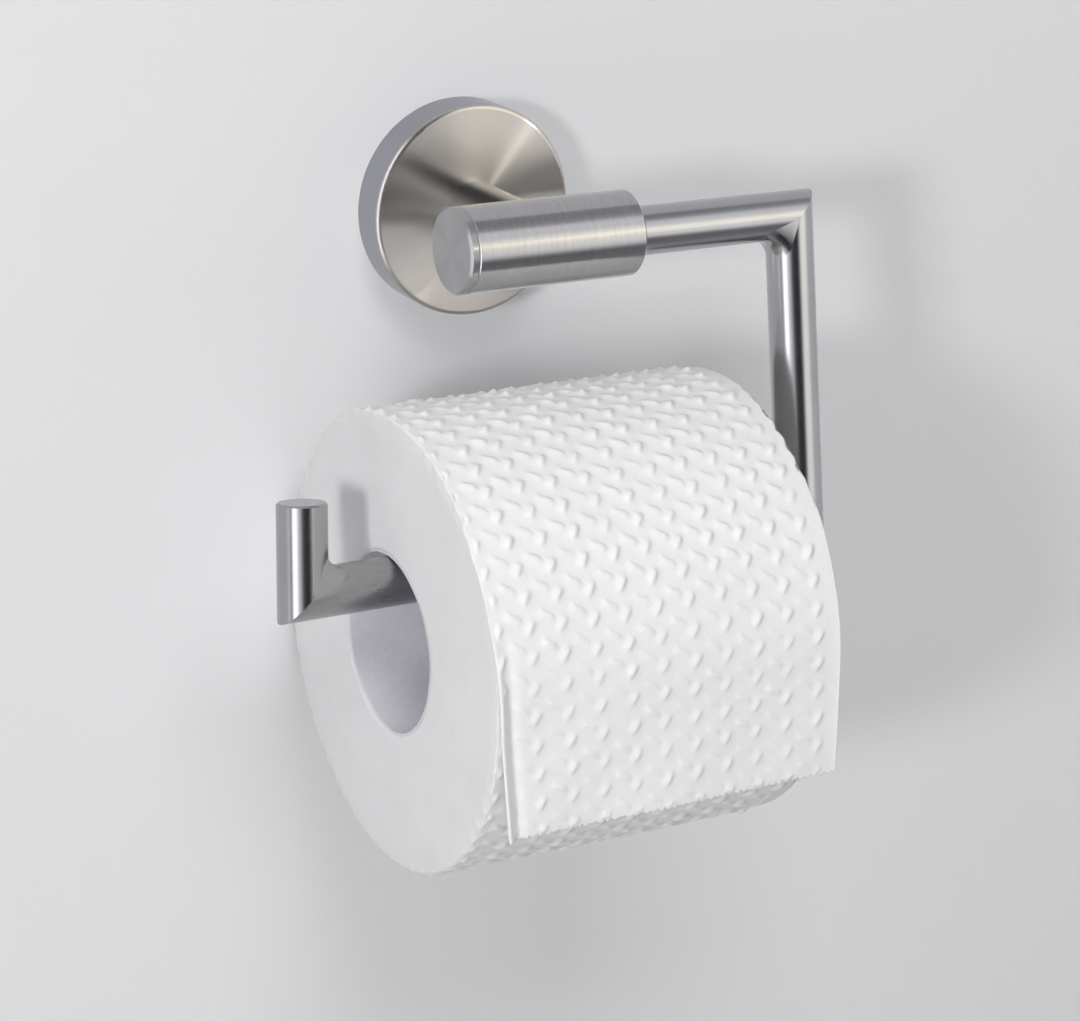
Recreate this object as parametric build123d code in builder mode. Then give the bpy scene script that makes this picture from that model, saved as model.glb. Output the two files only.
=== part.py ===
from build123d import *
import math
import os

# Toilet paper holder on a wall. X runs along the wall, +Y into the wall, +Z up.
# The origin is the centre of the rosette on the wall plane. Units are millimetres.

os.makedirs("parts", exist_ok=True)

# Wall side
ROSETTE_R = 28.0
ROSETTE_T = 11.0
ROSETTE_FRONT_T = 3.0
ROSETTE_WALL = 2.5
ROSETTE_EDGE_R = 1.2
PLATE_R = 24.0
PLATE_T = 5.0
PLATE_CORE_R = 7.0
SCREW_SPACING = 30.0
SCREW_R = 2.0
SCREW_NECK_R = 2.15
SCREW_HOLE_R = 2.3
SCREW_HEAD_R = 4.0
SCREW_HEAD_T = 2.4
SCREW_DEPTH = 30.0
SCREW_TIP_L = 4.5
SCREW_POINT_R = 0.3
CROSS_W = 1.0
CROSS_L = 4.4
GRUB_R = 2.0
GRUB_Y = -2.6
GRUB_TOP = 22.8
GRUB_BOTTOM = 27.6
GRUB_SOCKET_R = 1.1
GRUB_SOCKET_DEPTH = 2.0
GRUB_POCKET_TOP = 22.5
GRUB_POCKET_R = 2.1

# Post and its screw
POST_R = 8.0
POST_SCREW_R = 3.0
POST_SCREW_HEAD_R = 5.0
POST_SCREW_HEAD_T = 3.5
POST_SCREW_END = 20.0
POST_TAP_END = 23.0
HEX_SOCKET_R = 2.8
HEX_SOCKET_DEPTH = 2.0

# Barrel, its cap and its bearings
BARREL_AXIS = 47.0
BARREL_R = 11.0
BARREL_BORE_R = 8.0
BARREL_LEFT = -22.5
BARREL_RIGHT = 25.0
CAP_T = 2.5
CAP_SPIGOT_L = 2.5
CAP_SPIGOT_BORE_R = 6.0
SEAM_CHAMFER = 0.3
EDGE_CHAMFER = 0.6
BUSH_BORE_R = 6.4
BUSH_L = 10.0
LEFT_BUSH_X = -14.0
RIGHT_BUSH_X = 15.0

# Arm: round rod, three mitred corners
ROD_R = 6.35
SWING_AT_REST = 9.0
ROD_INNER_END = -14.3
LEG_X = 74.0
LEG_L = 80.0
STUB_X = -71.0
STUB_H = 23.0
STUB_LEAN_DEG = 3.5
STUB_CHAMFER = 0.5
FILLET_LEG = 2.4
FILLET_W = 3.2
CUT_SIZE = 200.0

# Parts that hold the rod in the barrel
CLIP_GAP = 0.3
CLIP_T = 1.2
CLIP_GROOVE_R = 5.7
CLIP_R = 7.3
CLIP_OPENING = 3.0
CLIP_LUG_R = 1.5
WASHER_R = 7.4
WASHER_T = 1.5
END_SCREW_R = 2.5
END_SCREW_HEAD_R = 4.5
END_SCREW_HEAD_T = 3.0
END_SCREW_L = 10.0
END_TAP_L = 13.0

# Paper
ROLL_R = 59.0
ROLL_LEFT = -48.0
ROLL_W = 96.0
CORE_R = 23.6
CORE_BORE_R = 23.0
CORE_GAP = 0.3
SHEET_GAP = 0.3
SHEET_T = 0.5
SHEET_DROP = 28.5
SHEET_WRAP_DEG = 42.0
SHEET_LEAN_DEG = 4.0

# Directions of the arm in its rest position, swung forward from the wall
swing = math.radians(SWING_AT_REST)
along_x = Vector(1, 0, 0)
down_arm = Vector(0, -math.sin(swing), -math.cos(swing))
arm_normal = Vector(0, -math.cos(swing), math.sin(swing))
pivot = Vector(0, -BARREL_AXIS, 0)
lean = math.radians(STUB_LEAN_DEG)
down_stub = down_arm * math.cos(lean) - along_x * math.sin(lean)


def arm_point(x, drop):
    """Point on the arm's own plane, a distance down from the barrel's axis."""
    return pivot + along_x * x + down_arm * drop


def facing_x(x, y=0.0, z=0.0):
    """Plane that looks along +X, with its own x along Y and its own y along Z."""
    return Plane(origin=(x, y, z), x_dir=(0, 1, 0), z_dir=(1, 0, 0))


def facing_wall(y, x=0.0, z=0.0):
    """Plane that looks away from the wall, with its own x along X and its own y along Z."""
    return Plane(origin=(x, y, z), x_dir=(1, 0, 0), z_dir=(0, -1, 0))


def save(part, name):
    part.label = name
    export_step(part, f"parts/{name}.step")


screw_heights = [-SCREW_SPACING / 2, SCREW_SPACING / 2]

# Wall plate: round disc with two screw holes, a centre hole that clears the post screw's
# head and a pocket in its lower edge that the grub screw bites into
with BuildPart() as wall_plate:
    with BuildSketch(facing_wall(0)):
        Circle(PLATE_R)
        Circle(PLATE_CORE_R, mode=Mode.SUBTRACT)
        with GridLocations(0, SCREW_SPACING, 1, 2):
            Circle(SCREW_HOLE_R, mode=Mode.SUBTRACT)
    extrude(amount=PLATE_T)
    with BuildSketch(Plane.XY.offset(-PLATE_R)):
        with Locations((0, GRUB_Y)):
            Circle(GRUB_POCKET_R)
    extrude(amount=PLATE_R - GRUB_POCKET_TOP, mode=Mode.SUBTRACT)
save(wall_plate.part, "wall_plate")

# Wall screws: domed heads on the plate, cross recess, plain necks in the plate's holes,
# then shanks into the wall that taper to a point
with BuildPart() as wall_screws:
    for height in screw_heights:
        with BuildSketch(facing_wall(-PLATE_T, z=height)):
            Circle(SCREW_HEAD_R)
        extrude(amount=SCREW_HEAD_T)
    fillet(wall_screws.faces().sort_by(Axis.Y)[:2].edges(), radius=SCREW_HEAD_T / 2)
    for height in screw_heights:
        with BuildSketch(facing_wall(0, z=height)):
            Circle(SCREW_NECK_R)
        extrude(amount=PLATE_T)
        with BuildSketch(facing_wall(SCREW_DEPTH - SCREW_TIP_L, z=height)):
            Circle(SCREW_R)
        extrude(amount=SCREW_DEPTH - SCREW_TIP_L)
        with BuildSketch(facing_wall(SCREW_DEPTH, z=height)):
            Circle(SCREW_POINT_R)
        with BuildSketch(facing_wall(SCREW_DEPTH - SCREW_TIP_L, z=height)):
            Circle(SCREW_R)
        loft()
        with BuildSketch(facing_wall(-PLATE_T - SCREW_HEAD_T / 2, z=height)):
            Rectangle(CROSS_L, CROSS_W)
            Rectangle(CROSS_W, CROSS_L)
        extrude(amount=SCREW_HEAD_T, mode=Mode.SUBTRACT)
save(wall_screws.part, "wall_screws")

# Rosette: cup over the plate, rounded front edge, centre hole for the post screw and a
# hole through its lower wall for the grub screw
with BuildPart() as rosette:
    with BuildSketch(facing_wall(0)):
        Circle(ROSETTE_R)
    extrude(amount=ROSETTE_T)
    fillet(rosette.faces().sort_by(Axis.Y)[0].edges(), radius=ROSETTE_EDGE_R)
    with BuildSketch(facing_wall(0)):
        Circle(ROSETTE_R - ROSETTE_WALL)
    extrude(amount=ROSETTE_T - ROSETTE_FRONT_T, mode=Mode.SUBTRACT)
    with BuildSketch(facing_wall(0)):
        Circle(POST_SCREW_R)
    extrude(amount=ROSETTE_T, mode=Mode.SUBTRACT)
    with BuildSketch(Plane.XY.offset(-ROSETTE_R)):
        with Locations((0, GRUB_Y)):
            Circle(GRUB_R)
    extrude(amount=2 * ROSETTE_WALL, mode=Mode.SUBTRACT)
save(rosette.part, "rosette")

# Grub screw: from the rosette's underside into the plate's pocket, hexagonal socket below
with BuildPart() as grub_screw:
    with BuildSketch(Plane.XY.offset(-GRUB_BOTTOM)):
        with Locations((0, GRUB_Y)):
            Circle(GRUB_R)
    extrude(amount=GRUB_BOTTOM - GRUB_TOP)
    with BuildSketch(Plane.XY.offset(-GRUB_BOTTOM)):
        with Locations((0, GRUB_Y)):
            RegularPolygon(GRUB_SOCKET_R, 6)
    extrude(amount=GRUB_SOCKET_DEPTH, mode=Mode.SUBTRACT)
save(grub_screw.part, "grub_screw")

# Post: round bar coped to sit on the barrel, tapped from the rosette's side
with BuildPart() as post:
    with BuildSketch(facing_wall(-ROSETTE_T)):
        Circle(POST_R)
    extrude(amount=BARREL_AXIS - ROSETTE_T)
    with BuildSketch(facing_x(-BARREL_R, y=-BARREL_AXIS)):
        Circle(BARREL_R)
    extrude(amount=2 * BARREL_R, mode=Mode.SUBTRACT)
    with BuildSketch(facing_wall(-ROSETTE_T)):
        Circle(POST_SCREW_R)
    extrude(amount=POST_TAP_END - ROSETTE_T, mode=Mode.SUBTRACT)
save(post.part, "post")

# Post screw: head inside the rosette, shank through its front wall into the post
head_back = ROSETTE_T - ROSETTE_FRONT_T - POST_SCREW_HEAD_T
with BuildPart() as post_screw:
    with BuildSketch(facing_wall(-head_back)):
        Circle(POST_SCREW_HEAD_R)
    extrude(amount=POST_SCREW_HEAD_T)
    with BuildSketch(facing_wall(-head_back)):
        Circle(POST_SCREW_R)
    extrude(amount=POST_SCREW_END - head_back)
    with BuildSketch(facing_wall(-head_back)):
        RegularPolygon(HEX_SOCKET_R, 6)
    extrude(amount=HEX_SOCKET_DEPTH, mode=Mode.SUBTRACT)
save(post_screw.part, "post_screw")

# Barrel: plain tube, chamfered where the rod leaves and at the cap's seam
with BuildPart() as barrel:
    with BuildSketch(facing_x(BARREL_LEFT, y=-BARREL_AXIS)):
        Circle(BARREL_R)
    extrude(amount=BARREL_RIGHT - BARREL_LEFT)
    chamfer(barrel.faces().sort_by(Axis.X)[-1].edges(), length=EDGE_CHAMFER)
    chamfer(barrel.faces().sort_by(Axis.X)[0].edges(), length=SEAM_CHAMFER)
    with BuildSketch(facing_x(BARREL_LEFT, y=-BARREL_AXIS)):
        Circle(BARREL_BORE_R)
    extrude(amount=BARREL_RIGHT - BARREL_LEFT, mode=Mode.SUBTRACT)
save(barrel.part, "barrel")

# End cap: thin disc with a hollow spigot in the barrel's bore
with BuildPart() as end_cap:
    with BuildSketch(facing_x(BARREL_LEFT - CAP_T, y=-BARREL_AXIS)):
        Circle(BARREL_R)
    extrude(amount=CAP_T)
    chamfer(end_cap.faces().sort_by(Axis.X)[0].edges(), length=EDGE_CHAMFER)
    chamfer(end_cap.faces().sort_by(Axis.X)[-1].edges(), length=SEAM_CHAMFER)
    with BuildSketch(facing_x(BARREL_LEFT, y=-BARREL_AXIS)):
        Circle(BARREL_BORE_R)
        Circle(CAP_SPIGOT_BORE_R, mode=Mode.SUBTRACT)
    extrude(amount=CAP_SPIGOT_L)
save(end_cap.part, "end_cap")


def bush(start):
    """Bearing sleeve between the barrel's bore and the rod."""
    with BuildPart() as sleeve:
        with BuildSketch(facing_x(start, y=-BARREL_AXIS)):
            Circle(BARREL_BORE_R)
            Circle(BUSH_BORE_R, mode=Mode.SUBTRACT)
        extrude(amount=BUSH_L)
    return sleeve.part


save(bush(LEFT_BUSH_X), "bush_left")
save(bush(RIGHT_BUSH_X), "bush_right")


def mitre_plane(x, drop, across):
    """Plane through a corner of the arm, square to the given in-plane direction."""
    return Plane(origin=arm_point(x, drop), x_dir=arm_normal, z_dir=across)


top_corner = mitre_plane(LEG_X, 0, along_x + down_arm)
bottom_corner = mitre_plane(LEG_X, LEG_L, along_x - down_arm)
stub_corner = mitre_plane(STUB_X, LEG_L, along_x + down_stub)

clip_start = LEFT_BUSH_X + BUSH_L + CLIP_GAP

# Upper rod: tapped inner end, groove for the circlip, mitred outer end
with BuildPart() as upper_rod:
    with BuildSketch(Plane(origin=arm_point(ROD_INNER_END, 0), x_dir=arm_normal, z_dir=along_x)):
        Circle(ROD_R)
    extrude(amount=LEG_X + 2 * ROD_R - ROD_INNER_END)
    split(bisect_by=top_corner, keep=Keep.BOTTOM)
    with BuildSketch(Plane(origin=arm_point(clip_start, 0), x_dir=arm_normal, z_dir=along_x)):
        Circle(ROD_R)
        Circle(CLIP_GROOVE_R, mode=Mode.SUBTRACT)
    extrude(amount=CLIP_T, mode=Mode.SUBTRACT)
    with BuildSketch(Plane(origin=arm_point(ROD_INNER_END, 0), x_dir=arm_normal, z_dir=along_x)):
        Circle(END_SCREW_R)
    extrude(amount=END_TAP_L, mode=Mode.SUBTRACT)
save(upper_rod.part, "upper_rod")

# Leg: mitred at both ends
with BuildPart() as leg:
    with BuildSketch(Plane(origin=arm_point(LEG_X, -2 * ROD_R), x_dir=along_x, z_dir=down_arm)):
        Circle(ROD_R)
    extrude(amount=LEG_L + 4 * ROD_R)
    split(bisect_by=top_corner, keep=Keep.TOP)
    split(bisect_by=bottom_corner, keep=Keep.TOP)
save(leg.part, "leg")

# Lower rod: runs through the roll's core, mitred at both ends
with BuildPart() as lower_rod:
    with BuildSketch(
        Plane(origin=arm_point(STUB_X - 2 * ROD_R, LEG_L), x_dir=arm_normal, z_dir=along_x)
    ):
        Circle(ROD_R)
    extrude(amount=LEG_X - STUB_X + 4 * ROD_R)
    split(bisect_by=bottom_corner, keep=Keep.BOTTOM)
    split(bisect_by=stub_corner, keep=Keep.TOP)
save(lower_rod.part, "lower_rod")

# Stub: short upturned end that leans a little towards the roll, flat top with a broken edge
stub_top = arm_point(STUB_X, LEG_L) - down_stub * STUB_H
with BuildPart() as stub:
    with BuildSketch(Plane(origin=stub_top, x_dir=arm_normal, z_dir=down_stub)):
        Circle(ROD_R)
    extrude(amount=STUB_H + 2 * ROD_R)
    chamfer(stub.faces().sort_by(Axis.Z)[-1].edges(), length=STUB_CHAMFER)
    split(bisect_by=stub_corner, keep=Keep.BOTTOM)
save(stub.part, "stub")


def corner_fillet(x, drop, right, down, upright=down_arm):
    """Small wedge in an inside corner of the arm, cut to fit against both rods.

    right and down are +1 or -1: the side of the corner that the two rods run to.
    upright is the direction of the rod that runs down or up from the corner.
    """
    inner = Plane(origin=arm_point(x, drop), x_dir=along_x, z_dir=arm_normal)
    near = ROD_R - 1.0
    far = ROD_R + FILLET_LEG
    level_start = arm_point(x - right * far, drop)
    upright_start = arm_point(x, drop) - upright * down * far
    with BuildPart() as wedge:
        with BuildSketch(inner.offset(-FILLET_W / 2)):
            with BuildLine():
                Polyline(
                    (right * near, -down * near),
                    (right * far, -down * near),
                    (right * far, -down * ROD_R),
                    (right * ROD_R, -down * far),
                    (right * near, -down * far),
                    close=True,
                )
            make_face()
        extrude(amount=FILLET_W)
        with BuildSketch(Plane(origin=level_start, x_dir=arm_normal, z_dir=along_x * right)):
            Circle(ROD_R)
        extrude(amount=3 * far, mode=Mode.SUBTRACT)
        with BuildSketch(Plane(origin=upright_start, x_dir=arm_normal, z_dir=upright * down)):
            Circle(ROD_R)
        extrude(amount=3 * far, mode=Mode.SUBTRACT)
    return wedge.part


# Weld fillets: one in each inside corner of the arm
with BuildPart() as weld_fillets:
    add(corner_fillet(LEG_X, 0, -1, 1))
    add(corner_fillet(LEG_X, LEG_L, -1, -1))
    add(corner_fillet(STUB_X, LEG_L, 1, -1, down_stub))
save(weld_fillets.part, "weld_fillets")

# Circlip: open ring in the rod's groove, right of the left bush
with BuildPart() as circlip:
    with BuildSketch(Plane(origin=arm_point(clip_start, 0), x_dir=arm_normal, z_dir=along_x)):
        Circle(CLIP_R)
        Circle(CLIP_GROOVE_R, mode=Mode.SUBTRACT)
        with Locations((CLIP_R, 0)):
            Rectangle(2 * CLIP_R, CLIP_OPENING, mode=Mode.SUBTRACT)
    extrude(amount=CLIP_T)
save(circlip.part, "circlip")

# Retaining washer: on the rod's inner end, larger than the bush's bore
with BuildPart() as retaining_washer:
    with BuildSketch(facing_x(ROD_INNER_END - WASHER_T, y=-BARREL_AXIS)):
        Circle(WASHER_R)
        Circle(END_SCREW_R, mode=Mode.SUBTRACT)
    extrude(amount=WASHER_T)
save(retaining_washer.part, "retaining_washer")

# Retaining screw: button head on the washer, shank in the rod's tapped end
end_head = ROD_INNER_END - WASHER_T - END_SCREW_HEAD_T
with BuildPart() as retaining_screw:
    with BuildSketch(facing_x(end_head, y=-BARREL_AXIS)):
        Circle(END_SCREW_HEAD_R)
    extrude(amount=END_SCREW_HEAD_T)
    fillet(retaining_screw.faces().sort_by(Axis.X)[0].edges(), radius=END_SCREW_HEAD_T / 2)
    with BuildSketch(facing_x(end_head, y=-BARREL_AXIS)):
        RegularPolygon(HEX_SOCKET_R / 2, 6)
    extrude(amount=HEX_SOCKET_DEPTH, mode=Mode.SUBTRACT)
    with BuildSketch(facing_x(end_head + END_SCREW_HEAD_T, y=-BARREL_AXIS)):
        Circle(END_SCREW_R)
    extrude(amount=WASHER_T + END_SCREW_L)
save(retaining_screw.part, "retaining_screw")

# The roll hangs on the lower rod: its centre is straight below the rod's axis
rod_axis = arm_point(0, LEG_L)
roll_y = rod_axis.Y
roll_z = rod_axis.Z - (CORE_BORE_R - ROD_R - CORE_GAP)

# Core tube: card tube inside the paper
with BuildPart() as core_tube:
    with BuildSketch(facing_x(ROLL_LEFT, y=roll_y, z=roll_z)):
        Circle(CORE_R)
        Circle(CORE_BORE_R, mode=Mode.SUBTRACT)
    extrude(amount=ROLL_W)
save(core_tube.part, "core_tube")

# Paper roll: wound paper around the core
with BuildPart() as paper_roll:
    with BuildSketch(facing_x(ROLL_LEFT, y=roll_y, z=roll_z)):
        Circle(ROLL_R)
        Circle(CORE_R, mode=Mode.SUBTRACT)
    extrude(amount=ROLL_W)
save(paper_roll.part, "paper_roll")

# Paper sheet: lies on the roll's upper front, then leaves it and hangs with a small lean
sheet_in = ROLL_R + SHEET_GAP
sheet_out = sheet_in + SHEET_T
top_angle = math.radians(SHEET_WRAP_DEG)
leave_angle = math.radians(SHEET_LEAN_DEG)


def on_roll(radius, angle):
    """Point in front of the roll's centre, at an angle above the horizontal."""
    return (-radius * math.cos(angle), radius * math.sin(angle))


def sheet_bottom(radius):
    """Lower end of the straight part that leaves the roll at the leave angle."""
    start_y, start_z = on_roll(radius, leave_angle)
    fall = start_z + SHEET_DROP
    return (start_y - fall * math.tan(leave_angle), -SHEET_DROP)


mid_angle = (top_angle + leave_angle) / 2
with BuildPart() as paper_sheet:
    with BuildSketch(facing_x(ROLL_LEFT, y=roll_y, z=roll_z)):
        with BuildLine():
            ThreePointArc(
                on_roll(sheet_in, top_angle),
                on_roll(sheet_in, mid_angle),
                on_roll(sheet_in, leave_angle),
            )
            Polyline(
                on_roll(sheet_in, leave_angle),
                sheet_bottom(sheet_in),
                sheet_bottom(sheet_out),
                on_roll(sheet_out, leave_angle),
            )
            ThreePointArc(
                on_roll(sheet_out, leave_angle),
                on_roll(sheet_out, mid_angle),
                on_roll(sheet_out, top_angle),
            )
            Line(on_roll(sheet_out, top_angle), on_roll(sheet_in, top_angle))
        make_face()
    extrude(amount=ROLL_W)
save(paper_sheet.part, "paper_sheet")
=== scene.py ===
import math

import bpy
import numpy as np
from mathutils import Matrix, Vector


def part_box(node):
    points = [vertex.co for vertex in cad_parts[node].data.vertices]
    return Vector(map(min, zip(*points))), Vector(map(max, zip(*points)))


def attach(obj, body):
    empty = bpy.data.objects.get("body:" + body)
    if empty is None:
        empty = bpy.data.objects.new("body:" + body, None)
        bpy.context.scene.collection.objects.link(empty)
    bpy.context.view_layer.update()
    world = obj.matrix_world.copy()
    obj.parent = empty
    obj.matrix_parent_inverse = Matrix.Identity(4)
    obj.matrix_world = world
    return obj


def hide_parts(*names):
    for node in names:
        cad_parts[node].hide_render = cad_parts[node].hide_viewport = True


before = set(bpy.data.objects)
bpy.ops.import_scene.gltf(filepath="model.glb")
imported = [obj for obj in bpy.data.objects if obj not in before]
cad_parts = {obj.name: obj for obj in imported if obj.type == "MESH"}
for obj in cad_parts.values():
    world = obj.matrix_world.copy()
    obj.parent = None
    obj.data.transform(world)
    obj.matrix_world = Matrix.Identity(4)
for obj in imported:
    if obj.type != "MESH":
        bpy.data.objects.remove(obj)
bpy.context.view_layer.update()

# Toilet paper holder on a wall. Metres, +X along the wall, +Y into the wall, +Z up.
scene = bpy.context.scene
MM = 0.001

# ---------------------------------------------------------------- camera
# It stands to the left of the holder and above it, looks down and to the right, and is rolled a
# little. Azimuth is measured from straight out of the wall, positive to the right.
CAM_AT = (-0.36444, -0.70505, 0.18577)
CAM_AZIMUTH = math.radians(-29.1011)
CAM_ELEVATION = math.radians(18.8555)
CAM_ROLL = math.radians(1.3985)
CAM_LENS_MM = 102.7276
CAM_SENSOR_MM = 36.0
camera_data = bpy.data.cameras.new("camera")
camera_data.sensor_width = CAM_SENSOR_MM
camera_data.lens = CAM_LENS_MM
camera_data.clip_start, camera_data.clip_end = 0.02, 20.0
camera = bpy.data.objects.new("camera", camera_data)
scene.collection.objects.link(camera)
turned = Matrix.Rotation(CAM_AZIMUTH, 4, "Z")
tilted = Matrix.Rotation(math.pi / 2 - CAM_ELEVATION, 4, "X")
rolled = Matrix.Rotation(CAM_ROLL, 4, "Z")
camera.matrix_world = Matrix.Translation(CAM_AT) @ turned @ tilted @ rolled
scene.camera = camera
scene.view_settings.view_transform = "Standard"
scene.view_settings.look = "None"


# ---------------------------------------------------------------- node helpers
class Tree:
    """Short names for the nodes of one node tree. Outputs are picked by index or by name."""

    def __init__(self, owner):
        owner.use_nodes = True
        self.t = owner.node_tree
        self.t.nodes.clear()

    def put(self, socket, value):
        if isinstance(value, bpy.types.NodeSocket):
            self.t.links.new(value, socket)
        elif isinstance(value, (tuple, list)) and len(value) == 3 and socket.type == "RGBA":
            socket.default_value = (*value, 1.0)
        else:
            socket.default_value = value

    def node(self, kind, inputs=None, out=0, **props):
        n = self.t.nodes.new(kind)
        for key, value in props.items():
            setattr(n, key, value)
        for key, value in (inputs or {}).items():
            self.put(n.inputs[key], value)
        return n.outputs[out] if n.outputs else n

    def math(self, operation, a, b=0.0, c=0.0, clamp=False):
        return self.node("ShaderNodeMath", {0: a, 1: b, 2: c}, operation=operation, use_clamp=clamp)

    def vec(self, operation, a, b=(0, 0, 0), scale=None, out=0):
        inputs = {0: a, 1: b} if scale is None else {0: a, "Scale": scale}
        return self.node("ShaderNodeVectorMath", inputs, out=out, operation=operation)

    def split(self, v):
        n = self.t.nodes.new("ShaderNodeSeparateXYZ")
        self.put(n.inputs[0], v)
        return n.outputs[0], n.outputs[1], n.outputs[2]

    def join(self, x, y, z):
        return self.node("ShaderNodeCombineXYZ", {0: x, 1: y, 2: z})

    def noise(self, v, scale, detail=3.0, rough=0.5, out=0):
        return self.node(
            "ShaderNodeTexNoise",
            {"Vector": v, "Scale": scale, "Detail": detail, "Roughness": rough},
            out=out,
        )

    def ramp(self, value, stops):
        """Grey levels by position, straight between the stops."""
        n = self.t.nodes.new("ShaderNodeValToRGB")
        n.color_ramp.interpolation = "LINEAR"
        self.put(n.inputs[0], value)
        el = n.color_ramp.elements
        el.remove(el[1])
        el[0].position = stops[0][0]
        el[0].color = (stops[0][1],) * 3 + (1.0,)
        for pos, level in stops[1:]:
            el.new(pos).color = (level,) * 3 + (1.0,)
        return n.outputs[0]

    def span(self, value, lo, hi, to_lo, to_hi):
        return self.node("ShaderNodeMapRange", {0: value, 1: lo, 2: hi, 3: to_lo, 4: to_hi})

    def mix(self, fac, a, b, blend="MIX"):
        """Mix of two colours, whose sockets are inputs 6 and 7 and output 2 of the node."""
        n = self.t.nodes.new("ShaderNodeMix")
        n.data_type, n.blend_type = "RGBA", blend
        self.put(n.inputs[0], fac)
        self.put(n.inputs[6], a)
        self.put(n.inputs[7], b)
        return n.outputs[2]

    def bump(self, height, strength, distance):
        return self.node(
            "ShaderNodeBump", {"Height": height, "Strength": strength, "Distance": distance}
        )

    def principled(self, **inputs):
        n = self.t.nodes.new("ShaderNodeBsdfPrincipled")
        for key, value in inputs.items():
            self.put(n.inputs[key.replace("_", " ")], value)
        return n.outputs[0]

    def finish(self, shader, kind="ShaderNodeOutputMaterial"):
        out = self.t.nodes.new(kind)
        self.t.links.new(shader, out.inputs[0])


def material(name):
    m = bpy.data.materials.new(name)
    return m, Tree(m)


# ---------------------------------------------------------------- light
# The room that the steel reflects, by direction: azimuth 0 is straight out from the wall,
# positive to the right; each stop is (degrees, display grey level of its reflection).
STEEL_ALBEDO = 0.45
ROOM_STRENGTH = 4.0  # keeps the ramps' levels below one
FILL_STRENGTH = 0.175  # even light on everything but the steel's reflections
WARM_ELEVATION = 0.22  # radians; a slightly warm light in the room, on the right
AROUND = [
    (-180, 180), (-140, 186), (-120, 196), (-100, 190), (-90, 185), (-82, 178), (-76, 95),
    (-71, 70), (-65, 262), (-58, 325), (-50, 262), (-40, 175), (-31, 160), (-22, 60), (4, 36),
    (14, 50), (24, 140), (34, 190), (44, 152), (56, 140), (70, 158), (86, 152), (100, 155),
    (140, 165), (180, 180),
]
UPWARD = [
    (-90, 130), (-62, 112), (-54, 102), (-46, 90), (-38, 90), (-30, 90), (-25, 84), (-20, 94),
    (-15, 150), (-10, 188), (-4, 208), (6, 220), (16, 238), (24, 212), (31, 188), (38, 190),
    (44, 188), (50, 120), (58, 96), (68, 125), (90, 140),
]
world = bpy.data.worlds.new("studio")
scene.world = world
w = Tree(world)
dx, dy, dz = w.split(w.node("ShaderNodeTexCoord", out="Generated"))
azimuth = w.math("ARCTAN2", dx, w.math("MULTIPLY", dy, -1.0))
elevation = w.math("ARCSINE", dz)


def profile(angle, stops, span_deg):
    """Light that comes from each angle, so that the steel shows it at the stops' levels."""
    made = []
    for deg, level in stops:
        light = (level / 255.0) ** 2.2 / STEEL_ALBEDO
        made.append((deg / span_deg + 0.5, light / ROOM_STRENGTH))
    scaled = w.math("MULTIPLY_ADD", angle, 180.0 / math.pi / span_deg, 0.5)
    return w.ramp(scaled, made)


around = profile(azimuth, AROUND, 360.0)
upward = profile(elevation, UPWARD, 180.0)
# The upward profile rules in front on the right and far above or below the horizon, and the
# level one rules everywhere else
right_side = w.span(azimuth, math.radians(12), math.radians(26), 0.0, 1.0)
in_front = w.span(azimuth, math.radians(44), math.radians(64), 1.0, 0.0)
high = w.span(w.math("ABSOLUTE", elevation), math.radians(38), math.radians(58), 0.0, 1.0)
share = w.math("MAXIMUM", w.math("MULTIPLY", right_side, in_front), high)
room = w.mix(share, around, upward)
off_warm = w.math("ABSOLUTE", w.math("SUBTRACT", elevation, WARM_ELEVATION))
warm = w.math("MULTIPLY", right_side, w.span(off_warm, 0.1, 0.42, 1.0, 0.0))
tint = w.mix(warm, (0.97, 0.975, 1.05), (1.035, 1.0, 0.91))
seen_in_steel = w.node(
    "ShaderNodeBackground",
    {"Color": w.mix(1.0, room, tint, "MULTIPLY"), "Strength": ROOM_STRENGTH},
)
fill = w.node(
    "ShaderNodeBackground", {"Color": (0.97, 0.985, 1.0), "Strength": FILL_STRENGTH}
)
glossy = w.node("ShaderNodeLightPath", out="Is Glossy Ray")
w.finish(w.node("ShaderNodeMixShader", {0: glossy, 1: fill, 2: seen_in_steel}),
         "ShaderNodeOutputWorld")


LAMPS_AIM_AT = Vector((0, -0.05, -0.06))


def softbox(name, azimuth_deg, elevation_deg, distance, width, height, power, colour):
    """Soft rectangular lamp that faces the roll. The steel doesn't mirror it."""
    data = bpy.data.lights.new(name, "AREA")
    data.shape = "RECTANGLE"
    data.size, data.size_y = width, height
    data.energy, data.color = power, colour
    lamp = bpy.data.objects.new(name, data)
    scene.collection.objects.link(lamp)
    a, e = math.radians(azimuth_deg), math.radians(elevation_deg)
    out = Vector((math.sin(a) * math.cos(e), -math.cos(a) * math.cos(e), math.sin(e)))
    lamp.location = LAMPS_AIM_AT + out * distance
    lamp.rotation_mode = "QUATERNION"
    lamp.rotation_quaternion = (-out).to_track_quat("-Z", "Y")
    lamp.visible_glossy = False
    return lamp


softbox("high_left", -70, 44, 1.3, 0.35, 0.35, 2.2, (1.0, 0.99, 0.975))
softbox("high_front", -12, 48, 1.7, 0.8, 0.6, 12.0, (1.0, 0.995, 0.985))
softbox("left_front", -53, 8, 1.5, 0.22, 0.22, 8.6, (1.0, 0.995, 0.985))
softbox("right_fill", 66, 8, 1.6, 0.9, 0.9, 2.2, (1.0, 0.99, 0.97))
# The exception, a small lamp that only the steel sees: the thin bright line across the rosette
glint = softbox("glint", 51, 12, 2.0, 0.085, 0.085, 2.4, (1.0, 0.99, 0.95))
glint.visible_glossy, glint.visible_diffuse = True, False


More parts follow.
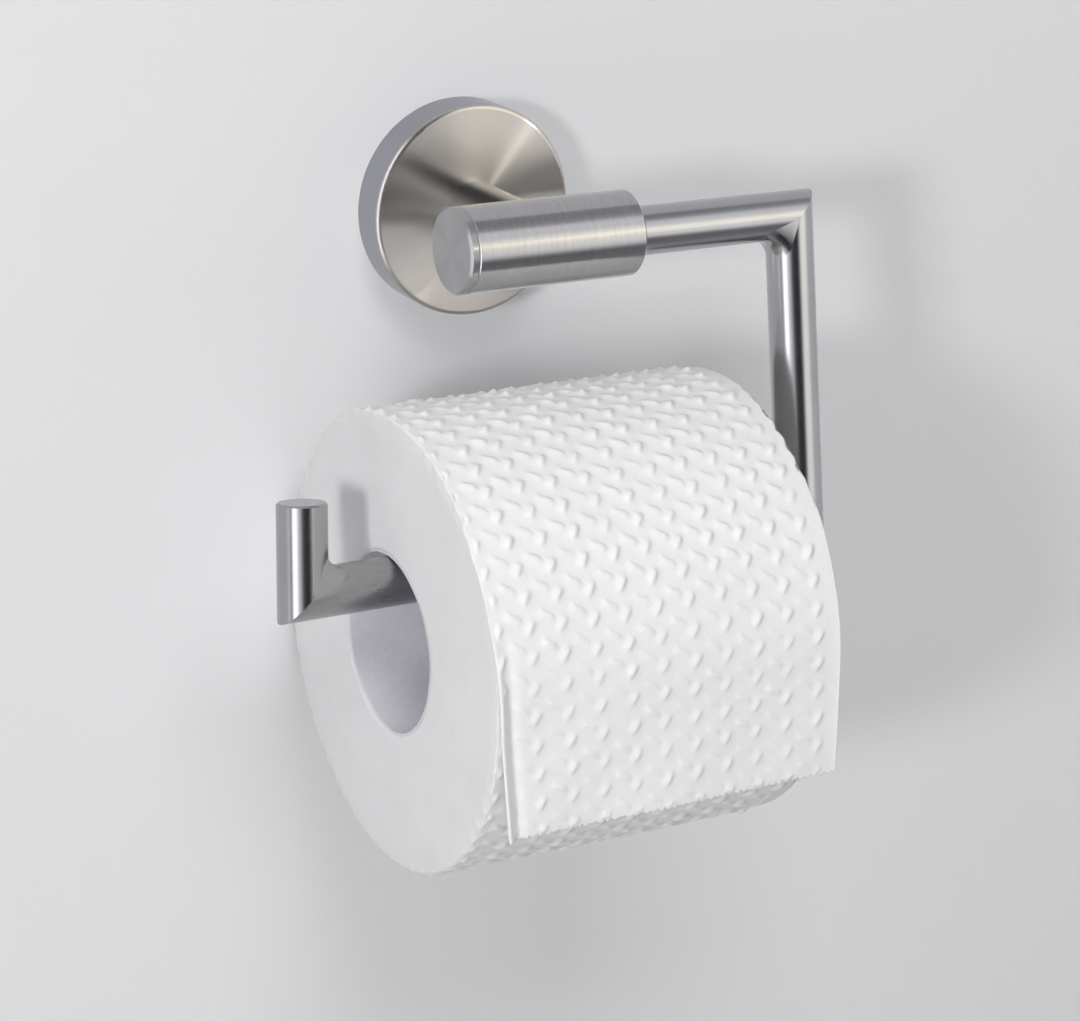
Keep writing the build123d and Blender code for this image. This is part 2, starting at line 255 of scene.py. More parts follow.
# ---------------------------------------------------------------- stage
PAINTED_SHADE_BEHIND_ROLL = 0.92  # painted shade: how far the level that the steel mirrors falls off behind the roll


def one_way(name, base, glow, mirrored, held_back):
    """Plain pale surface that shows only from its front, with a little even light of its own.

    mirrored is the level that the steel reflects, and glow its own light as the eye sees it.
    held_back is the share of all its light that it doesn't throw on its surroundings.
    """
    m, t = material(name)
    point = t.node("ShaderNodeNewGeometry", out="Position")
    colour = t.mix(t.noise(point, 3.0, 2.0), base, tuple(c * 0.985 for c in base))
    front = t.principled(Base_Color=colour, Roughness=0.6, Specular_IOR_Level=0.2,
                         Emission_Color=(0.97, 0.98, 1.0), Emission_Strength=glow)
    px, _, pz = t.split(point)
    # Painted shade: the level that the steel mirrors is darker on the wall behind and below the
    # roll
    painted_shade_near_roll = t.math("MULTIPLY", t.span(pz, -0.025, -0.06, 0.0, 1.0),
                       t.span(px, -0.10, -0.03, 0.0, 1.0))
    level = t.span(painted_shade_near_roll, 0.0, 1.0, mirrored, mirrored * PAINTED_SHADE_BEHIND_ROLL)
    reflected = t.node("ShaderNodeEmission", {"Color": (0.97, 0.97, 1.03), "Strength": level})
    glossy_ray = t.node("ShaderNodeLightPath", out="Is Glossy Ray")
    diffuse_ray = t.node("ShaderNodeLightPath", out="Is Diffuse Ray")
    dark = t.node("ShaderNodeEmission", {"Strength": 0.0})
    lit = t.node("ShaderNodeMixShader",
                 {0: t.math("MULTIPLY", diffuse_ray, held_back), 1: front, 2: dark})
    shown = t.node("ShaderNodeMixShader", {0: glossy_ray, 1: lit, 2: reflected})
    clear = t.node("ShaderNodeBsdfTransparent")
    back_side = t.node("ShaderNodeNewGeometry", out="Backfacing")
    t.finish(t.node("ShaderNodeMixShader", {0: back_side, 1: shown, 2: clear}))
    return m


def mesh_object(name, verts, faces, mats, index=None):
    """Smooth-shaded mesh of quads. index gives each face's material."""
    mesh = bpy.data.meshes.new(name)
    verts = np.asarray(verts, np.float32).reshape(-1, 3)
    faces = np.asarray(faces, np.int32).reshape(-1, 4)
    mesh.vertices.add(len(verts))
    mesh.vertices.foreach_set("co", verts.ravel())
    mesh.loops.add(faces.size)
    mesh.loops.foreach_set("vertex_index", faces.ravel())
    mesh.polygons.add(len(faces))
    mesh.polygons.foreach_set("loop_start", np.arange(0, faces.size, 4, dtype=np.int32))
    if index is not None:
        mesh.polygons.foreach_set("material_index", np.asarray(index, np.int32))
    mesh.update(calc_edges=True)
    mesh.validate()
    mesh.polygons.foreach_set("use_smooth", np.full(len(mesh.polygons), True))
    for m in mats:
        mesh.materials.append(m)
    obj = bpy.data.objects.new(name, mesh)
    scene.collection.objects.link(obj)
    return obj


WALL_Y = 0.00005
FLOOR_Z = -0.42
FAR = 3.0
wall = mesh_object(
    "stage_wall",
    [(-FAR, WALL_Y, -FAR), (FAR, WALL_Y, -FAR), (FAR, WALL_Y, FAR), (-FAR, WALL_Y, FAR)],
    [(0, 1, 2, 3)],
    [one_way("wall_paint", (0.66, 0.663, 0.675), glow=0.145, mirrored=0.70, held_back=0.55)],
)
floor = mesh_object(
    "stage_floor",
    [(-FAR, -FAR, FLOOR_Z), (FAR, -FAR, FLOOR_Z), (FAR, FAR, FLOOR_Z), (-FAR, FAR, FLOOR_Z)],
    [(0, 1, 2, 3)],
    [one_way("floor_paint", (0.64, 0.64, 0.635), glow=0.0, mirrored=0.50, held_back=0.0)],
)
# The steel mirrors the room's lower half, painted by angle above, in place of the floor
floor.visible_glossy = False

# ---------------------------------------------------------------- steel
# In all materials a noise's scale is in waves per metre, and a bump's distance in metres
BARREL_CENTRE = (0.0, -0.047, 0.0)  # on the line that the barrel and upper rod lie on
RIM_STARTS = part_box("rosette")[0].y + 0.0005  # just behind the rosette's front
RIM_FADE = 0.0006


def object_point(t):
    return t.node("ShaderNodeTexCoord", out="Object")


def to_world(t, v):
    return t.node("ShaderNodeVectorTransform", {0: v}, vector_type="VECTOR",
                  convert_from="OBJECT", convert_to="WORLD")


def brushed(name, colour, axis, centre, roughness, groove, aniso, streaks, rim=None):
    """Steel brushed in circles around an axis through a centre, its rim in a duller, bluer colour:
    a painted reflection of the wall.
    """
    m, t = material(name)
    p = t.vec("SUBTRACT", object_point(t), centre)
    along = t.vec("DOT_PRODUCT", p, axis, out="Value")
    off = t.vec("SUBTRACT", p, t.vec("SCALE", axis, scale=along))
    radius = t.vec("LENGTH", off, out="Value")
    round_about = t.vec("NORMALIZE", off)
    lines = t.vec("CROSS_PRODUCT", axis, round_about)
    # Fine grooves: quick across the brushing, slow along it
    across = t.join(t.math("ADD", along, t.math("MULTIPLY", radius, 1.7)), 0.0, 0.0)
    grain_at = t.vec("ADD", across, t.vec("SCALE", round_about, scale=0.0016))
    fine = t.noise(grain_at, 5200.0, 2.0, 0.6)
    coarse = t.noise(grain_at, 1500.0, 3.0, 0.6)
    bands = t.noise(grain_at, 900.0, 2.0, 0.5)
    cloud = t.noise(object_point(t), 90.0, 4.0, 0.6)
    grain = t.math("ADD", t.math("MULTIPLY", fine, 0.55), t.math("MULTIPLY", coarse, 0.45))
    streaky = t.span(grain, 0.3, 0.7, roughness * (1 - streaks), roughness * (1 + streaks))
    cloudy = t.math("MULTIPLY", t.math("SUBTRACT", cloud, 0.5), 0.03)
    rough = t.math("ADD", streaky, cloudy, clamp=True)
    tone = t.span(t.math("ADD", t.math("MULTIPLY", grain, 0.7), t.math("MULTIPLY", bands, 0.3)),
                  0.3, 0.7, 1.0 - streaks, 1.0 + streaks)
    # The rim's darker, bluer colour is a painted reflection of the pale blue-grey wall
    if rim:
        on_rim = t.span(along, RIM_STARTS, RIM_STARTS + RIM_FADE, 0.0, 1.0)
        colour = t.mix(on_rim, colour, rim)
    base = t.vec("SCALE", colour, scale=tone)
    normal = t.bump(grain, groove, 0.00004)
    surface_normal = t.node("ShaderNodeNewGeometry", out="Normal")
    tangent = t.vec("NORMALIZE", t.vec("CROSS_PRODUCT", to_world(t, lines), surface_normal))
    t.finish(t.principled(Base_Color=base, Metallic=1.0, Roughness=rough, Anisotropic=aniso,
                          Tangent=tangent, Normal=normal))
    return m


STANDING = (1.0, 1.0, 0.08)  # stretches the marks along a rod that stands
LYING = (0.08, 1.0, 1.0)  # and along one that lies level
EVERY_WAY = (1.0, 1.0, 1.0)


def satin(name, colour, roughness, stretch=STANDING, marks=0.06):
    """Fine satin steel rod with faint polishing marks that run along it."""
    m, t = material(name)
    p = object_point(t)
    fine = t.noise(p, 2600.0, 3.0, 0.65)
    cloud = t.noise(p, 70.0, 4.0, 0.55)
    streak = t.noise(t.vec("MULTIPLY", p, stretch), 1400.0, 3.0, 0.6)
    grain = t.math("ADD", fine, streak)
    grainy = t.span(grain, 0.7, 1.3, roughness * 0.93, roughness * 1.07)
    cloudy = t.math("MULTIPLY", t.math("SUBTRACT", cloud, 0.5), 0.05)
    rough = t.math("ADD", grainy, cloudy, clamp=True)
    base = t.vec("SCALE", colour, scale=t.span(cloud, 0.3, 0.7, 0.96, 1.03))
    normal = t.bump(grain, marks, 0.00003)
    t.finish(t.principled(Base_Color=base, Metallic=1.0, Roughness=rough, Normal=normal))
    return m


def zinc(name, colour, roughness):
    """Plated steel of the hidden fixings: small cloudy crystals and dull spots."""
    m, t = material(name)
    p = object_point(t)
    cells = t.node("ShaderNodeTexVoronoi", {"Vector": p, "Scale": 900.0}, out="Color")
    crystal, _, _ = t.split(cells)
    cloud = t.noise(p, 220.0, 4.0, 0.6)
    tone = t.math("ADD", t.span(crystal, 0.0, 1.0, 0.92, 1.05),
                  t.span(cloud, 0.3, 0.7, -0.05, 0.05))
    t.finish(t.principled(
        Base_Color=t.vec("SCALE", colour, scale=tone), Metallic=1.0,
        Roughness=t.span(cloud, 0.3, 0.7, roughness * 0.8, roughness * 1.3),
        Normal=t.bump(cloud, 0.1, 0.0001)))
    return m


def moulded(name, colour, roughness):
    """Plastic with a fine moulded grain."""
    m, t = material(name)
    p = object_point(t)
    grain = t.noise(p, 1800.0, 3.0, 0.6)
    cloud = t.noise(p, 160.0, 3.0, 0.5)
    t.finish(t.principled(
        Base_Color=t.vec("SCALE", colour, scale=t.span(cloud, 0.3, 0.7, 0.96, 1.03)),
        Roughness=t.span(grain, 0.3, 0.7, roughness * 0.85, roughness * 1.15),
        Normal=t.bump(grain, 0.15, 0.00008)))
    return m


BARREL_COLOUR = (0.46, 0.455, 0.445)
ROD_COLOUR = (0.45, 0.447, 0.445)
# The rosette's face steel is lighter and warmer than the other steel: a painted warm reflection of
# the room's light
face_steel = brushed(
    "rosette_steel", (0.61, 0.575, 0.525), axis=(0, 1, 0), centre=(0, 0, 0),
    roughness=0.235, groove=0.05, aniso=1.0, streaks=0.035, rim=(0.41, 0.41, 0.435),
)
barrel_steel = brushed(
    "barrel_steel", BARREL_COLOUR, axis=(1, 0, 0), centre=BARREL_CENTRE,
    roughness=0.195, groove=0.25, aniso=0.80, streaks=0.11,
)
cap_steel = brushed(
    "end_cap_steel", BARREL_COLOUR, axis=(1, 0, 0), centre=BARREL_CENTRE,
    roughness=0.30, groove=0.08, aniso=1.0, streaks=0.05,
)
rod_steel = satin("rod_steel", ROD_COLOUR, 0.22)
level_rod_steel = satin("level_rod_steel", ROD_COLOUR, 0.22, LYING)
weld_steel = satin("ground_weld_steel", ROD_COLOUR, 0.22, EVERY_WAY, marks=0.02)
dull_rod_steel = satin("lower_rod_steel", (0.41, 0.408, 0.412), 0.29, LYING, marks=0.03)
plated = zinc("plated_steel", (0.56, 0.57, 0.59), 0.36)
phosphated = zinc("spring_steel", (0.17, 0.17, 0.18), 0.45)
acetal = moulded("acetal", (0.84, 0.84, 0.81), 0.42)
FINISHES = {
    "rosette": face_steel, "barrel": barrel_steel, "end_cap": cap_steel, "post": rod_steel,
    "upper_rod": level_rod_steel, "leg": rod_steel, "lower_rod": dull_rod_steel,
    "stub": rod_steel, "weld_fillets": weld_steel,
    "wall_plate": plated, "wall_screws": plated, "grub_screw": plated, "post_screw": plated,
    "retaining_washer": plated, "retaining_screw": plated,
    "circlip": phosphated, "bush_left": acetal, "bush_right": acetal,
}
for node_name, finish in FINISHES.items():
    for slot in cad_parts[node_name].material_slots:
        slot.material = finish

# ---------------------------------------------------------------- paper
# Lengths of the paper and welds are in mm until the last step, which multiplies them by MM
near_corner, far_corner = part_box("paper_roll")
ROLL_Y = (near_corner.y + far_corner.y) / 2 / MM
ROLL_Z = (near_corner.z + far_corner.z) / 2 / MM
ROLL_R = (far_corner.z - near_corner.z) / 2 / MM
LEFT, RIGHT = near_corner.x / MM, far_corner.x / MM
BASE_R = ROLL_R - 0.45  # skin between the embossed humps
CORE_BORE_R, CORE_R = 23.05, 23.55
CELLS_AROUND = 52  # a multiple of 4, so that a quarter turn brings the pattern back
PITCH_X = 8.85
PITCH_A = 2 * math.pi * ROLL_R / CELLS_AROUND
CELL_X, CELL_A = 44.0, 36.0  # place one cell's corner: x is minus the first, a is the second


def tissue(name, colour, shade):
    """Soft white tissue: fibres, fine crepe and tiny pits."""
    m, t = material(name)
    p = object_point(t)
    stirred = t.vec("SCALE", t.noise(p, 260.0, 2.0, out="Color"), scale=0.004)
    fibre = t.noise(t.vec("ADD", p, stirred), 1300.0, 5.0, 0.7)
    crepe = t.noise(t.vec("MULTIPLY", p, (0.35, 1.0, 1.0)), 2300.0, 3.0, 0.6)
    cloud = t.noise(p, 60.0, 3.0, 0.5)
    height = t.math("ADD", t.math("MULTIPLY", fibre, 0.65), t.math("MULTIPLY", crepe, 0.35))
    tone = t.math("ADD", t.span(cloud, 0.3, 0.7, 1.0 - shade, 1.0),
                  t.span(fibre, 0.35, 0.65, -0.02, 0.02))
    t.finish(t.principled(
        Base_Color=t.vec("SCALE", colour, scale=tone), Roughness=0.95, Specular_IOR_Level=0.15,
        Sheen_Weight=0.15, Sheen_Roughness=0.6, Normal=t.bump(height, 0.35, 0.00022)))
    return m


def wound_edge(name, colour):
    """Side of the roll: cut edges of the layers, seen as faint rings and soft fibre."""
    m, t = material(name)
    p = t.vec("SUBTRACT", object_point(t), (0.0, ROLL_Y * MM, ROLL_Z * MM))
    _, py, pz = t.split(p)
    off = t.join(0.0, py, pz)
    radius = t.vec("LENGTH", off, out="Value")
    ring_at = t.vec("ADD", t.join(radius, 0.0, 0.0),
                    t.vec("SCALE", t.vec("NORMALIZE", off), scale=0.006))
    rings = t.noise(ring_at, 1500.0, 3.0, 0.65)
    broad = t.noise(ring_at, 260.0, 2.0, 0.5)
    fuzz = t.noise(p, 700.0, 5.0, 0.7)
    cloud = t.noise(p, 55.0, 3.0, 0.5)
    height = t.math("ADD", t.math("MULTIPLY", rings, 0.3), t.math("MULTIPLY", fuzz, 0.7))
    layers = t.math("ADD", t.math("MULTIPLY", rings, 0.5), t.math("MULTIPLY", broad, 0.5))
    tone = t.math("ADD", t.span(layers, 0.3, 0.7, 0.98, 1.005),
                  t.span(cloud, 0.3, 0.7, -0.02, 0.02))
    t.finish(t.principled(
        Base_Color=t.vec("SCALE", colour, scale=tone), Roughness=0.97, Specular_IOR_Level=0.1,
        Normal=t.bump(height, 0.55, 0.0004)))
    return m


def card(name, colour):
    """Grey card with long fibres and a few specks."""
    m, t = material(name)
    p = object_point(t)
    fibre = t.noise(t.vec("MULTIPLY", p, (0.5, 1.0, 1.0)), 900.0, 5.0, 0.7)
    cloud = t.noise(p, 90.0, 3.0, 0.5)
    speck = t.node("ShaderNodeTexVoronoi", {"Vector": p, "Scale": 420.0}, out="Distance")
    dots = t.span(speck, 0.06, 0.14, 0.86, 1.0)
    tone = t.math("MULTIPLY", dots, t.math("ADD", t.span(fibre, 0.3, 0.7, 0.95, 1.03),
                                           t.span(cloud, 0.3, 0.7, -0.02, 0.02)))
    t.finish(t.principled(
        Base_Color=t.vec("SCALE", colour, scale=tone), Roughness=0.85, Specular_IOR_Level=0.25,
        Normal=t.bump(fibre, 0.3, 0.00015)))
    return m


def uneven(x, a, seed, size, amount):
    """Soft random variation of the skin, the same in each quarter turn and in each run."""
    r = np.random.default_rng(seed)
    most = max(1, round(2 * math.pi * ROLL_R / size / 4))
    out = np.zeros(np.broadcast(x, a).shape)
    for _ in range(8):
        turns = 4 * r.integers(1, most + 1)
        tilt = 2 * math.pi * r.uniform(-1, 1) / size
        out += np.sin(turns * a / ROLL_R + tilt * x + r.uniform(0, 2 * math.pi))
    return out * amount / 2.0


def hump(x, a, at, lean, steep, gentle, length, sway=0.0):
    """Ridge that repeats in every cell, leaning from the roll's axis, steep on one side."""
    u = (x + CELL_X) / PITCH_X - at[0]
    v = (CELL_A - a) / PITCH_A - at[1]
    cu = (u - np.round(u)) * PITCH_X
    cv = (np.round(v) - v) * PITCH_A
    c, s = math.cos(math.radians(lean)), math.sin(math.radians(lean))
    along = c * cu + s * cv
    across = s * cu - c * cv + sway * np.sin(along * 1.25)
    return np.exp(-(across / np.where(across > 0, steep, gentle)) ** 2
                  - np.abs(along / length) ** 3)


LOOSE = 1.45  # the embossing stands higher on the loose skin than on the hanging sheet
PUFF_LEAN, RIDGE_LEAN = 55, 138  # degrees from the roll's axis


def emboss(x, a, slack=0.0):
    """Height in mm of the embossing at x along the roll and a round it, both in mm.

    Each cell holds a short puff and a longer ridge, each on its own low swelling. The ridges
    are steep on one side where the paper is wound, and even where it hangs slack (slack 1).
    """
    wx = x + uneven(x, a, 3, 40.0, 0.30)
    wa = a + uneven(x, a, 4, 40.0, 0.30)
    puff = 0.50 * hump(wx, wa, (0.72, 0.02), PUFF_LEAN, 0.72, 1.25, 1.75)
    puff += 0.18 * hump(wx, wa, (0.68, 0.04), PUFF_LEAN, 1.8, 2.4, 2.6)
    steep, gentle = 0.50 + 0.35 * slack, 1.5 - 0.65 * slack
    ridge = 0.33 * hump(wx, wa, (0.27, 0.62), RIDGE_LEAN, steep, gentle, 2.0, sway=0.24)
    ridge += 0.12 * hump(wx, wa, (0.24, 0.66), RIDGE_LEAN, 1.8, 2.4, 2.7)
    total = puff * (1.0 + uneven(x, a, 6, 17.0, 0.16))
    total = total + ridge * (1.0 + uneven(x, a, 7, 17.0, 0.22))
    # The pattern stops short of the roll's two rims, along a ragged line
    ragged = uneven(x, a, 8, 9.0, 0.35)
    edge = np.clip((44.6 + ragged - x) / 1.6, 0, 1) * np.clip((x + 47.0 + ragged) / 1.3, 0, 1)
    return total * edge


def waves(x, a, sizes, amounts, seed):
    """Slow random waves, the same each run."""
    r = np.random.default_rng(seed)
    out = np.zeros(np.broadcast(x, a).shape)
    for size, amount in zip(sizes, amounts):
        for _ in range(5):
            k = r.normal(size=2)
            k /= np.linalg.norm(k)
            out = out + amount * np.sin(2 * math.pi * (k[0] * x + k[1] * a) / size
                                        + r.uniform(0, 2 * math.pi)) / 2.2
    return out


def grid_faces(rows, columns, closed_rows=False, start=0, flip=False):
    """Quads of a grid of points, row by row."""
    r = np.arange(rows if closed_rows else rows - 1)
    c = np.arange(columns - 1)
    rr, cc = np.meshgrid(r, c, indexing="ij")
    nxt = (rr + 1) % rows
    quads = np.stack([rr * columns + cc, rr * columns + cc + 1,
                      nxt * columns + cc + 1, nxt * columns + cc], -1).reshape(-1, 4)
    if flip:
        quads = quads[:, ::-1]
    return quads + start


TISSUE_WHITE = (0.885, 0.89, 0.90)
tissue_roll = tissue("tissue_on_roll", TISSUE_WHITE, 0.012)
tissue_sheet = tissue("tissue_of_sheet", TISSUE_WHITE, 0.012)
side_paper = wound_edge("wound_paper_edge", (0.835, 0.84, 0.855))
# Grey card, its colour made paler and bluer to paint in the light and cool shade inside the bore
core_card = card("core_card", (0.78, 0.77, 0.83))


def build_roll():
    """Wound roll: embossed skin, rounded rims, slightly uneven side faces down to the core."""
    around_n, along_n = 936, 270
    phi = np.arange(around_n) * 2 * math.pi / around_n
    rings = np.r_[np.linspace(CORE_R, 57.2, 48), 57.7, 58.05]
    rim = 0.55
    xs = np.linspace(LEFT + rim, RIGHT - rim, along_n)
    rim_angle = np.radians([15, 35, 55, 75])

    def side(sign, edge):
        """Radius and x of the side face's profile, from the core out to the skin."""
        rad = list(rings) + [BASE_R - rim + rim * math.sin(angle) for angle in rim_angle]
        px = [edge - sign * 0.25 * (r < CORE_R + 0.3) for r in rings]
        px += [edge - sign * (rim - rim * math.cos(angle)) for angle in rim_angle]
        return np.array(rad), np.array(px)

    rl, xl = side(-1, LEFT)
    rr, xr = side(1, RIGHT)
    radius = np.r_[rl, np.full(along_n, BASE_R), rr[::-1]]
    x = np.r_[xl, xs, xr[::-1]]
    R, F = np.meshgrid(radius, phi)
    X = np.meshgrid(x, phi)[0]
    A = F * ROLL_R
    # Only the skin is embossed, and the embossing fades out over the rounded rims
    skin = np.zeros(len(radius))
    skin[len(rl):len(rl) + along_n] = 1.0
    skin[len(rl) - 4:len(rl)] = [0.1, 0.3, 0.6, 0.85]
    skin[len(rl) + along_n:len(rl) + along_n + 4] = [0.85, 0.6, 0.3, 0.1]
    R += skin * (LOOSE * emboss(X, A) + uneven(X, A, 11, 45.0, 0.07))
    # Layers stand a little proud or back of each other on the side faces
    face = np.zeros(len(radius))
    face[:len(rl)] = -1.0
    face[-len(rr):] = 1.0
    layer = waves(R * 3.0, A * 0.15, (9.0, 4.0), (0.018, 0.018), 5) + waves(
        R * np.cos(F), R * np.sin(F), (38.0, 17.0), (0.10, 0.05), 9)
    X -= face * (0.16 + np.clip(layer, -0.16, 0.16)) * (R > CORE_R + 0.2)
    near_rim = np.clip((R - ROLL_R + 3.0) / 2.0, 0, 1) * (np.abs(X) > RIGHT - 1.2)
    X -= np.sign(X) * near_rim * np.abs(uneven(X * 0, A, 15, 12.0, 0.22))
    verts = np.stack([X, ROLL_Y - R * np.cos(F), ROLL_Z + R * np.sin(F)], -1) * MM
    rows, columns = F.shape
    faces = grid_faces(rows, columns, closed_rows=True)
    # Bore wall that meets the core
    first = np.arange(rows) * columns
    after = (np.arange(rows) + 1) % rows * columns
    inner = np.stack([first, after, after + columns - 1, first + columns - 1], -1)
    column = np.arange(columns - 1)
    on_side = (column < len(rl) - 2) | (column >= columns - 1 - (len(rr) - 2))
    kind = np.tile(np.where(on_side, 1, 0), rows)
    faces = np.r_[faces, inner]
    kind = np.r_[kind, np.ones(len(inner), int)]
    return mesh_object("roll_paper", verts, faces, [tissue_roll, side_paper], index=kind)


def build_core():
    """Card tube with a spiral lap and slightly uneven cut ends."""
    around_n, along_n = 200, 120
    phi = np.arange(around_n) * 2 * math.pi / around_n
    xs = np.linspace(LEFT + 0.15, RIGHT - 0.15, along_n)
    profile_x = np.r_[xs, xs[-1], xs[-1], xs[::-1], xs[0], xs[0]]
    # 0 on the tube's inside, 1 on its outside
    side_of = np.r_[np.zeros(along_n), 0.35, 0.75, np.ones(along_n), 0.75, 0.35]
    X, F = np.meshgrid(profile_x, phi)
    S = np.meshgrid(side_of, phi)[0]
    lap_pitch = 62.0
    turn_at = (X / lap_pitch + F / (2 * math.pi)) % 1.0
    lap = 0.16 * np.exp(-((turn_at - 0.5) / 0.012) ** 2) + 0.10 * np.clip(turn_at * 18, 0, 1)
    R = CORE_BORE_R + S * (CORE_R - CORE_BORE_R) + (1 - S) * (0.10 - lap * 0.6)
    end = np.clip((np.abs(X) - (RIGHT - 1.5)) / 1.5, 0, 1)
    X = X - np.sign(X) * end * (0.10 + 0.07 * np.sin(3 * F + 1.0) + 0.04 * np.sin(11 * F))
    verts = np.stack([X, ROLL_Y - R * np.cos(F), ROLL_Z + R * np.sin(F)], -1) * MM
    rows, columns = F.shape
    first = np.arange(rows) * columns
    after = (np.arange(rows) + 1) % rows * columns
    closed = np.stack([first + columns - 1, first, after, after + columns - 1], -1)
    faces = np.r_[grid_faces(rows, columns, closed_rows=True, flip=True), closed[:, ::-1]]
    return mesh_object("roll_core", verts, faces, [core_card])


def build_sheet():
    """Free end of the paper: close to the skin above, then lifting off and hanging.

    Angles are measured up from the roll's front. The sheet starts at wrap and leaves the roll
    at leave_l on its left edge and at leave_r on its right.
    """
    wrap, leave_l, leave_r = math.radians(41.0), math.radians(5.0), math.radians(2.0)
    nx, ns = 320, 240
    drop, torn_edge = 28.5, 0.6
    thick = 0.22
    xs = np.linspace(LEFT, RIGHT, nx)
    total = ROLL_R * wrap + drop + torn_edge
    s = np.linspace(0, total, ns)
    S, X = np.meshgrid(s, xs, indexing="ij")
    side = (X - LEFT) / (RIGHT - LEFT)
    leave = leave_l + (leave_r - leave_l) * side
    angle = wrap - S / ROLL_R
    # Buried at the very top, close to the skin down to about 24 degrees, then free
    deg = np.degrees(angle)
    lift = np.interp(deg, [-40, 2, 10, 18, 24, 33, 38, 41],
                     [1.0, 0.95, 0.75, 0.45, 0.25, 0.12, 0.0, -0.55])
    radius = BASE_R + lift
    on_roll = angle >= leave
    Yr = -radius * np.cos(angle)
    Zr = radius * np.sin(angle)
    past = ROLL_R * (leave - angle)
    r0 = BASE_R + 0.95
    Ys = -r0 * np.cos(leave) - past * np.sin(leave)
    Zs = r0 * np.sin(leave) - past * np.cos(leave)
    Y = np.where(on_roll, Yr, Ys)
    Z = np.where(on_roll, Zr, Zs)
    ny = np.where(on_roll, -np.cos(angle), -np.cos(leave))
    nz = np.where(on_roll, np.sin(angle), np.sin(leave))
    arc = ROLL_R * angle
    down = np.clip((S - ROLL_R * wrap + 6.0) / 34.0, 0, 1)
    free = np.clip((22.0 - deg) / 20.0, 0, 1)
    # Left edge rolls slightly forward, and the free end waves softly
    curl = free * (1.7 * np.exp(-((X - LEFT - 0.5) / 1.3) ** 2)
                   - 0.7 * np.exp(-((X - LEFT - 3.6) / 1.7) ** 2))
    curl += 0.5 * free * np.exp(-(RIGHT - X) / 1.6)
    wave = free * down * (0.35 * np.sin(X / 14.0 + 1.1) + 0.22 * np.sin(X / 6.3 + 0.4 + S / 9.0))
    gain = np.interp(deg, [2.0, 38.0], [0.85, LOOSE])
    slack = np.interp(deg, [2.0, 24.0], [1.0, 0.0])
    height = gain * emboss(X, arc, slack) + uneven(X, arc, 11, 45.0, 0.07)
    height *= np.clip((total - S) / 1.2, 0.15, 1.0)
    height += curl + wave
    # Torn lower edge: short teeth between the perforations and loose tufts
    teeth = 0.28 * np.sin(2 * math.pi * X / 2.1) + 0.22 * np.sin(2 * math.pi * X / 0.93 + 1.0)
    teeth += 0.25 * np.random.default_rng(3).normal(size=nx)[None, :]
    low_end = np.clip((S - total + 3.0) / 3.0, 0, 1)
    Z = Z + low_end * teeth * 0.9
    # The free end draws in a little towards its torn edge, mostly on the left
    narrow = 0.9 * np.clip((S - total + 26) / 26, 0, 1)
    X2 = X + free * (1 - side) * narrow * 1.6 - free * side * narrow * 0.2
    front = np.stack([X2, ROLL_Y + Y + ny * height, ROLL_Z + Z + nz * height], -1)
    deep = height - thick
    back = np.stack([X2, ROLL_Y + Y + ny * deep, ROLL_Z + Z + nz * deep], -1)
    verts = np.concatenate([front.reshape(-1, 3), back.reshape(-1, 3)]) * MM
    n = ns * nx
    faces = [grid_faces(ns, nx, flip=True), grid_faces(ns, nx, start=n)]
    idx = np.arange(n).reshape(ns, nx)
    edges = ((idx[0], False), (idx[-1], True), (idx[:, 0], True), (idx[:, -1], False))
    for line, flip in edges:
        quad = np.stack([line[:-1], line[1:], line[1:] + n, line[:-1] + n], -1)
        faces.append(quad[:, ::-1] if flip else quad)
    return mesh_object("hanging_sheet", verts, np.concatenate(faces), [tissue_sheet]), total


# ---------------------------------------------------------------- welds of the arm
SWING_AT_REST = math.radians(9.0)  # in front of plumb
STUB_LEAN = math.radians(3.5)  # outwards
WELD_REACH = 6.6  # how far a fillet runs along each rod


def middle(node):
    low_end, high_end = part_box(node)
    return (low_end + high_end) / 2 / MM


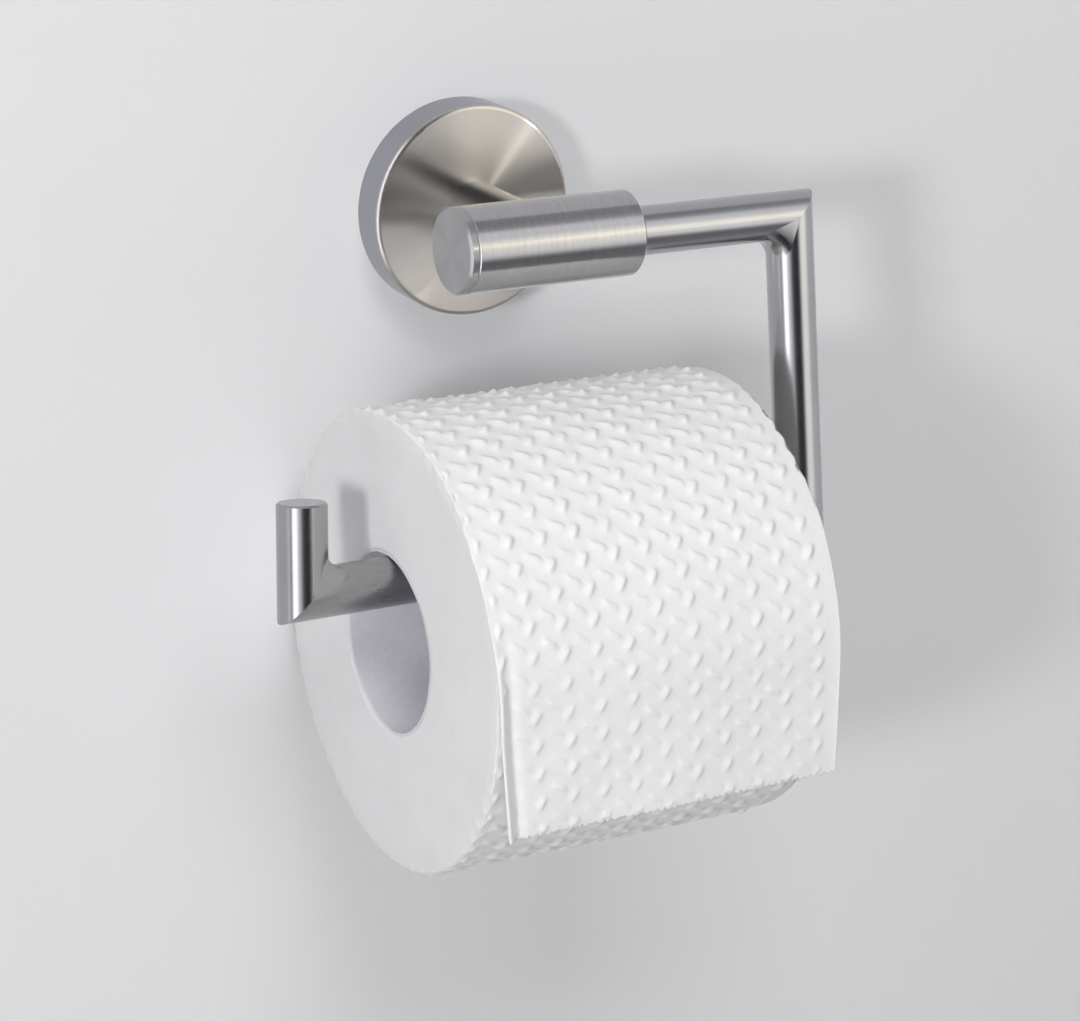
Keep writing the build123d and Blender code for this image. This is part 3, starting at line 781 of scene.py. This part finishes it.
def weld_fillet(corner, level, upright, rod_r, reach):
    """Points of one fillet, across it and round the rods, between two rods in a mitre.

    level and upright are unit vectors that lead along the rods, away from the corner. Each
    line across the fillet is an arc between the two rods, closed through the metal below it.
    """
    half = level.angle(upright) / 2
    side = level.cross(upright).normalized()
    over_level = (upright - level * level.dot(upright)).normalized()
    over_upright = (level - upright * level.dot(upright)).normalized()
    t = np.linspace(0, 1, 17)
    weight = math.sin(half)
    rows = []
    bernstein = ((1 - t) ** 2, 2 * weight * t * (1 - t), t ** 2)
    for turn in np.linspace(-88, 88, 121):
        c, sn = math.cos(math.radians(turn)), math.sin(math.radians(turn))
        back = rod_r * c / math.tan(half)
        widest = 0.55 + 0.45 * math.sin(math.radians(1.6 * turn)) ** 2
        spread = reach * widest * min(1.0, (90.0 - abs(turn)) / 30.0)
        from_level = np.array(over_level * c + side * sn)
        from_upright = np.array(over_upright * c + side * sn)
        crease = np.array(corner + level * back) + from_level * rod_r
        first = crease + np.array(level) * spread - from_level * 0.08
        last = crease + np.array(upright) * spread - from_upright * 0.08
        bend = crease + (from_level + from_upright) * 0.12
        arc = sum(b[:, None] * q for b, q in zip(bernstein, (first, bend, last)))
        arc = arc / sum(bernstein)[:, None]
        under = [last - from_upright * 0.5, crease - (from_level + from_upright) * 0.5,
                 first - from_level * 0.5]
        rows.append(np.concatenate([arc, np.array(under)]))
    return np.array(rows).transpose(1, 0, 2)


def build_welds():
    """Ground weld fillets in the three inside corners of the arm."""
    top, bottom, leg = middle("upper_rod"), middle("lower_rod"), middle("leg")
    leg_low, leg_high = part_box("leg")
    rod_r = (leg_high.x - leg_low.x) / 2 / MM
    down = Vector((0.0, -math.sin(SWING_AT_REST), -math.cos(SWING_AT_REST)))
    left, right = Vector((-1.0, 0.0, 0.0)), Vector((1.0, 0.0, 0.0))
    stub_up = -(down * math.cos(STUB_LEAN) - right * math.sin(STUB_LEAN))
    stub_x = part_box("lower_rod")[0].x / MM + rod_r
    corners = [
        (Vector((leg.x, top.y, top.z)), left, down),
        (Vector((leg.x, bottom.y, bottom.z)), left, -down),
        (Vector((stub_x, bottom.y, bottom.z)), right, stub_up),
    ]
    verts, faces = [], []
    for corner, level, upright in corners:
        points = weld_fillet(corner, level, upright, rod_r, WELD_REACH)
        faces.append(grid_faces(*points.shape[:2], closed_rows=True, start=sum(map(len, verts))))
        verts.append(points.reshape(-1, 3))
    return mesh_object("arm_welds", np.concatenate(verts) * MM, np.concatenate(faces), [weld_steel])


welds = build_welds()
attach(welds, "arm")
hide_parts("weld_fillets")

# ---------------------------------------------------------------- pieces of paper
roll = build_roll()
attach(roll, "roll")
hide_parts("paper_roll")
core = build_core()
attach(core, "roll")
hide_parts("core_tube")
sheet, sheet_length = build_sheet()
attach(sheet, "hanging_paper")
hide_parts("paper_sheet")
